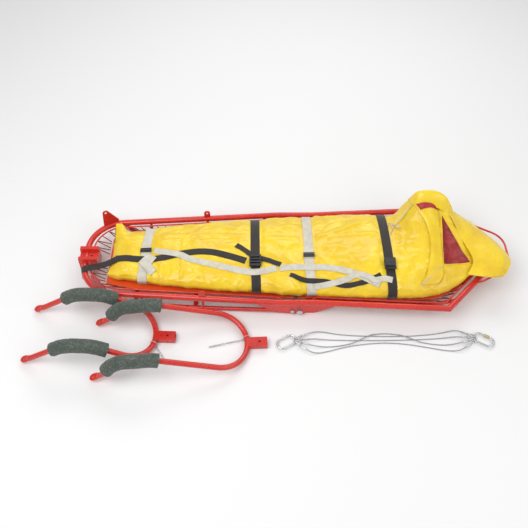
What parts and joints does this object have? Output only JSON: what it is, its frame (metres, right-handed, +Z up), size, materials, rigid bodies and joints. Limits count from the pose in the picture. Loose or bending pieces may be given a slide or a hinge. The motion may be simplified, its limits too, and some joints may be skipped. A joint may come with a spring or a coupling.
{
  "type": "rescue stretcher",
  "caption": "Two-part tubular rescue stretcher with laced bed, hooded casualty bag and straps, with shoulder yokes and a wire lifting bridle laid beside it.",
  "frame": {"origin": "on the ground, in the middle of everything but the bridle's wires, ferrules and eyes", "axes": "+X towards the casualty's head, along the stretcher; +Y away from the yokes that lie beside it; +Z up"},
  "size_m": [2.3724, 1.0206, 0.3393],
  "materials": {
    "red_paint": "gloss paint",
    "bright_steel": "galvanised",
    "brass": "satin",
    "pad_rubber": "worn matt",
    "bed_sheet": "coated fabric",
    "lacing_cord": "braided cord",
    "bag_cloth": "glossy coated cloth",
    "black_webbing": "woven",
    "cream_webbing": "woven",
    "black_steel": "satin",
    "black_plastic": "satin",
    "wire_rope": "stranded"
  },
  "bodies": {
    "head_half": {"head_rim": "red_paint", "rail_spigots": "bright_steel", "head_skids": "red_paint", "head_braces": "red_paint", "guard_hoop": "red_paint", "head_joint_plate_near": "red_paint", "head_joint_plate_far": "red_paint", "head_socket": "red_paint", "head_lacing_rod": "red_paint", "head_lacing": "lacing_cord", "head_bed": "bed_sheet", "bag_body": "bag_cloth", "bag_hood": "bag_cloth", "strap_head_cream": "cream_webbing", "strap_head_black": "black_webbing", "strap_long_head_cream": "cream_webbing", "strap_long_head_black": "black_webbing", "slider_head": "black_steel", "release_buckle": "black_plastic"},
    "foot_half": {"foot_rim": "red_paint", "foot_skids": "red_paint", "foot_braces": "red_paint", "corner_lugs": "red_paint", "rail_lugs": "red_paint", "foot_joint_plate_near": "red_paint", "foot_joint_plate_far": "red_paint", "joint_bolts": "bright_steel", "foot_socket": "red_paint", "foot_lacing_rod": "red_paint", "foot_lacing": "lacing_cord", "foot_bed": "bed_sheet", "strap_foot_cream": "cream_webbing", "strap_foot_black": "black_webbing", "strap_long_foot_cream": "cream_webbing", "strap_long_foot_black": "black_webbing", "slider_foot": "black_steel", "ladder_buckle": "black_steel"},
    "hand_nut_near": {"hand_nut_near": "bright_steel"},
    "hand_nut_far": {"hand_nut_far": "bright_steel"},
    "buckle_prong": {"buckle_prong": "black_plastic"},
    "yoke_long": {"yoke_long": "red_paint", "pad_long_near": "pad_rubber", "pad_long_far": "pad_rubber", "pin_chain_long": "bright_steel"},
    "yoke_short": {"yoke_short": "red_paint", "pad_short_near": "pad_rubber", "pad_short_far": "pad_rubber", "pin_chain_short": "bright_steel"},
    "bridle": {"karabiner_bodies": "bright_steel", "wire_eyes": "wire_rope", "wire_ferrules": "bright_steel", "wire_leg_1": "wire_rope", "wire_leg_2": "wire_rope", "wire_leg_3": "wire_rope", "wire_leg_4": "wire_rope"},
    "gate_left": {"gate_left": "bright_steel"},
    "gate_right": {"gate_right": "bright_steel"},
    "gate_sleeve": {"gate_sleeve": "brass"}
  },
  "joints": [
    {"name": "foot_half_draw", "type": "slide", "parent": "head_half", "child": "foot_half", "axis": [-1, 0, 0], "range_m": [0, 0.1]},
    {"name": "hand_nut_near_turn", "type": "hinge", "parent": "foot_half", "child": "hand_nut_near", "pos_m": [0.12843, -0.12183, 0.032], "axis": [0, -1, 0], "continuous": true},
    {"name": "hand_nut_far_turn", "type": "hinge", "parent": "foot_half", "child": "hand_nut_far", "pos_m": [0.12843, 0.47217, 0.032], "axis": [0, 1, 0], "continuous": true},
    {"name": "buckle_draw", "type": "slide", "parent": "head_half", "child": "buckle_prong", "axis": [0.0016, -0.9943, -0.1069], "range_m": [0, 0.032]},
    {"name": "yoke_long_lift", "type": "slide", "parent": "head_half", "child": "yoke_long", "axis": [0, 0, 1], "range_m": [0, 0.2]},
    {"name": "yoke_short_draw", "type": "slide", "parent": "head_half", "child": "yoke_short", "axis": [-1, 0, 0], "range_m": [0, 0.1]},
    {"name": "bridle_lift", "type": "slide", "parent": "head_half", "child": "bridle", "axis": [0, 0, 1], "range_m": [0, 0.2]},
    {"name": "gate_left_swing", "type": "hinge", "parent": "bridle", "child": "gate_left", "pos_m": [0.03323, -0.27025, 0.0105], "axis": [0, 0, -1], "range_deg": [0, 25]},
    {"name": "gate_right_swing", "type": "hinge", "parent": "bridle", "child": "gate_right", "pos_m": [1.03663, -0.25825, 0.0105], "axis": [0, 0, 1], "range_deg": [0, 25]},
    {"name": "sleeve_turn", "type": "hinge", "parent": "gate_right", "child": "gate_sleeve", "pos_m": [1.02018, -0.24875, 0.0105], "axis": [-0.866, 0.5, 0], "continuous": true}
  ]
}
